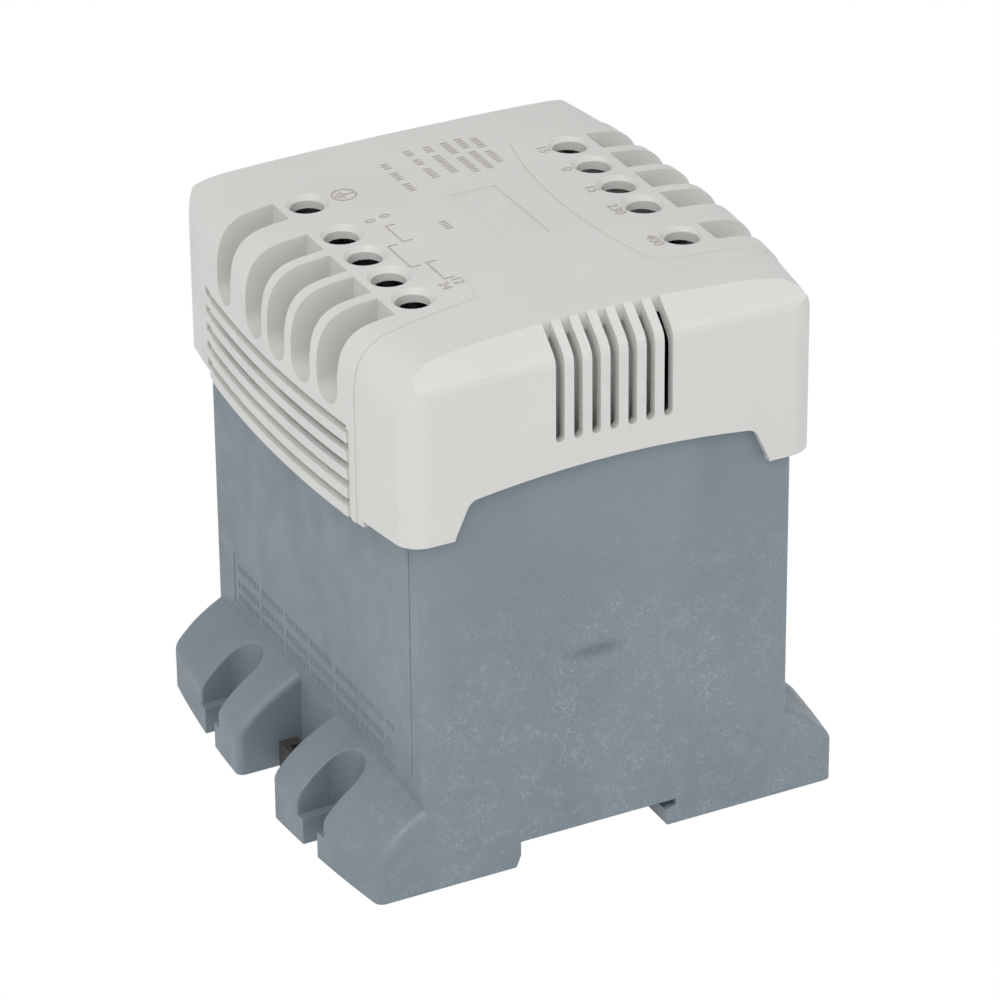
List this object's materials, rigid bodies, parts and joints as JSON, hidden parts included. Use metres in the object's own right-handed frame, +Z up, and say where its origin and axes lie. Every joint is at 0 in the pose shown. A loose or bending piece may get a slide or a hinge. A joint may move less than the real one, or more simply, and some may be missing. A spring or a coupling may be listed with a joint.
{
  "type": "dry type transformer",
  "caption": "Enclosed control transformer with flared screw feet, rail slot with latch, vented light cover and two banks of screw terminals.",
  "frame": {"origin": "centre of the underside of the feet", "axes": "+Z up through the cover; Y along the mounting rail; terminal banks on the -X and +X sides, vented faces on -Y and +Y; the latch is on the -X side"},
  "size_m": [0.1136, 0.1046, 0.1211],
  "materials": {
    "case_plastic": "moulded, fine fibre swirls",
    "cover_plastic": "fine satin moulding",
    "latch_plastic": "matte",
    "zinc_steel": "zinc plated",
    "tinned_brass": "tin plated",
    "carrier_plastic": "matte",
    "core_steel": "varnished sheet edges",
    "copper_wire": "enamelled wire",
    "insulation_film": "wound film",
    "lead_wire": "insulated wire",
    "earth_wire": "insulated wire"
  },
  "bodies": {
    "housing": {"bar_left_1": "tinned_brass", "bar_left_2": "tinned_brass", "bar_left_3": "tinned_brass", "bar_left_4": "tinned_brass", "bar_left_5": "tinned_brass", "bar_right_1": "tinned_brass", "bar_right_2": "tinned_brass", "bar_right_3": "tinned_brass", "bar_right_4": "tinned_brass", "bar_right_5": "tinned_brass", "bobbin": "carrier_plastic", "carrier_left": "carrier_plastic", "carrier_right": "carrier_plastic", "case": "case_plastic", "core_e_stack": "core_steel", "core_i_stack": "core_steel", "cover": "cover_plastic", "earth_lead": "earth_wire", "primary_leads": "lead_wire", "primary_winding": "copper_wire", "secondary_leads": "lead_wire", "secondary_winding": "copper_wire", "winding_insulation": "insulation_film", "winding_wrap": "insulation_film"},
    "latch": {"rail_latch": "latch_plastic"},
    "screw_left_1": {"screw_left_1": "zinc_steel"},
    "cage_left_1": {"cage_left_1": "zinc_steel"},
    "screw_left_2": {"screw_left_2": "zinc_steel"},
    "cage_left_2": {"cage_left_2": "zinc_steel"},
    "screw_left_3": {"screw_left_3": "zinc_steel"},
    "cage_left_3": {"cage_left_3": "zinc_steel"},
    "screw_left_4": {"screw_left_4": "zinc_steel"},
    "cage_left_4": {"cage_left_4": "zinc_steel"},
    "screw_left_5": {"screw_left_5": "zinc_steel"},
    "cage_left_5": {"cage_left_5": "zinc_steel"},
    "screw_right_1": {"screw_right_1": "zinc_steel"},
    "cage_right_1": {"cage_right_1": "zinc_steel"},
    "screw_right_2": {"screw_right_2": "zinc_steel"},
    "cage_right_2": {"cage_right_2": "zinc_steel"},
    "screw_right_3": {"screw_right_3": "zinc_steel"},
    "cage_right_3": {"cage_right_3": "zinc_steel"},
    "screw_right_4": {"screw_right_4": "zinc_steel"},
    "cage_right_4": {"cage_right_4": "zinc_steel"},
    "screw_right_5": {"screw_right_5": "zinc_steel"},
    "cage_right_5": {"cage_right_5": "zinc_steel"}
  },
  "joints": [
    {"name": "latch_slide", "type": "slide", "parent": "housing", "child": "latch", "axis": [-1, 0, 0], "range_m": [0, 0.0035], "stiffness_N_per_m": 1500, "springref_m": -0.001},
    {"name": "turn_left_1", "type": "hinge", "parent": "housing", "child": "screw_left_1", "pos_m": [-0.0302, -0.0243, 0.11], "axis": [0, 0, -1], "range_deg": [0, 1545]},
    {"name": "rise_left_1", "type": "slide", "parent": "housing", "child": "cage_left_1", "axis": [0, 0, 1], "range_m": [0, 0.003]},
    {"name": "turn_left_2", "type": "hinge", "parent": "housing", "child": "screw_left_2", "pos_m": [-0.0302, -0.0135, 0.11], "axis": [0, 0, -1], "range_deg": [0, 1545]},
    {"name": "rise_left_2", "type": "slide", "parent": "housing", "child": "cage_left_2", "axis": [0, 0, 1], "range_m": [0, 0.003]},
    {"name": "turn_left_3", "type": "hinge", "parent": "housing", "child": "screw_left_3", "pos_m": [-0.0302, -0.0027, 0.11], "axis": [0, 0, -1], "range_deg": [0, 1545]},
    {"name": "rise_left_3", "type": "slide", "parent": "housing", "child": "cage_left_3", "axis": [0, 0, 1], "range_m": [0, 0.003]},
    {"name": "turn_left_4", "type": "hinge", "parent": "housing", "child": "screw_left_4", "pos_m": [-0.0302, 0.0081, 0.11], "axis": [0, 0, -1], "range_deg": [0, 1545]},
    {"name": "rise_left_4", "type": "slide", "parent": "housing", "child": "cage_left_4", "axis": [0, 0, 1], "range_m": [0, 0.003]},
    {"name": "turn_left_5", "type": "hinge", "parent": "housing", "child": "screw_left_5", "pos_m": [-0.0302, 0.0243, 0.11], "axis": [0, 0, -1], "range_deg": [0, 1545]},
    {"name": "rise_left_5", "type": "slide", "parent": "housing", "child": "cage_left_5", "axis": [0, 0, 1], "range_m": [0, 0.003]},
    {"name": "turn_right_1", "type": "hinge", "parent": "housing", "child": "screw_right_1", "pos_m": [0.0302, 0.0243, 0.11], "axis": [0, 0, -1], "range_deg": [0, 1545]},
    {"name": "rise_right_1", "type": "slide", "parent": "housing", "child": "cage_right_1", "axis": [0, 0, 1], "range_m": [0, 0.003]},
    {"name": "turn_right_2", "type": "hinge", "parent": "housing", "child": "screw_right_2", "pos_m": [0.0302, 0.0135, 0.11], "axis": [0, 0, -1], "range_deg": [0, 1545]},
    {"name": "rise_right_2", "type": "slide", "parent": "housing", "child": "cage_right_2", "axis": [0, 0, 1], "range_m": [0, 0.003]},
    {"name": "turn_right_3", "type": "hinge", "parent": "housing", "child": "screw_right_3", "pos_m": [0.0302, 0.0027, 0.11], "axis": [0, 0, -1], "range_deg": [0, 1545]},
    {"name": "rise_right_3", "type": "slide", "parent": "housing", "child": "cage_right_3", "axis": [0, 0, 1], "range_m": [0, 0.003]},
    {"name": "turn_right_4", "type": "hinge", "parent": "housing", "child": "screw_right_4", "pos_m": [0.0302, -0.0081, 0.11], "axis": [0, 0, -1], "range_deg": [0, 1545]},
    {"name": "rise_right_4", "type": "slide", "parent": "housing", "child": "cage_right_4", "axis": [0, 0, 1], "range_m": [0, 0.003]},
    {"name": "turn_right_5", "type": "hinge", "parent": "housing", "child": "screw_right_5", "pos_m": [0.0302, -0.0243, 0.11], "axis": [0, 0, -1], "range_deg": [0, 1545]},
    {"name": "rise_right_5", "type": "slide", "parent": "housing", "child": "cage_right_5", "axis": [0, 0, 1], "range_m": [0, 0.003]}
  ],
  "couplings": [
    {"joint": "turn_left_1", "follows": "rise_left_1", "rad_per_m": 8976},
    {"joint": "turn_left_2", "follows": "rise_left_2", "rad_per_m": 8976},
    {"joint": "turn_left_3", "follows": "rise_left_3", "rad_per_m": 8976},
    {"joint": "turn_left_4", "follows": "rise_left_4", "rad_per_m": 8976},
    {"joint": "turn_left_5", "follows": "rise_left_5", "rad_per_m": 8976},
    {"joint": "turn_right_1", "follows": "rise_right_1", "rad_per_m": 8976},
    {"joint": "turn_right_2", "follows": "rise_right_2", "rad_per_m": 8976},
    {"joint": "turn_right_3", "follows": "rise_right_3", "rad_per_m": 8976},
    {"joint": "turn_right_4", "follows": "rise_right_4", "rad_per_m": 8976},
    {"joint": "turn_right_5", "follows": "rise_right_5", "rad_per_m": 8976}
  ]
}
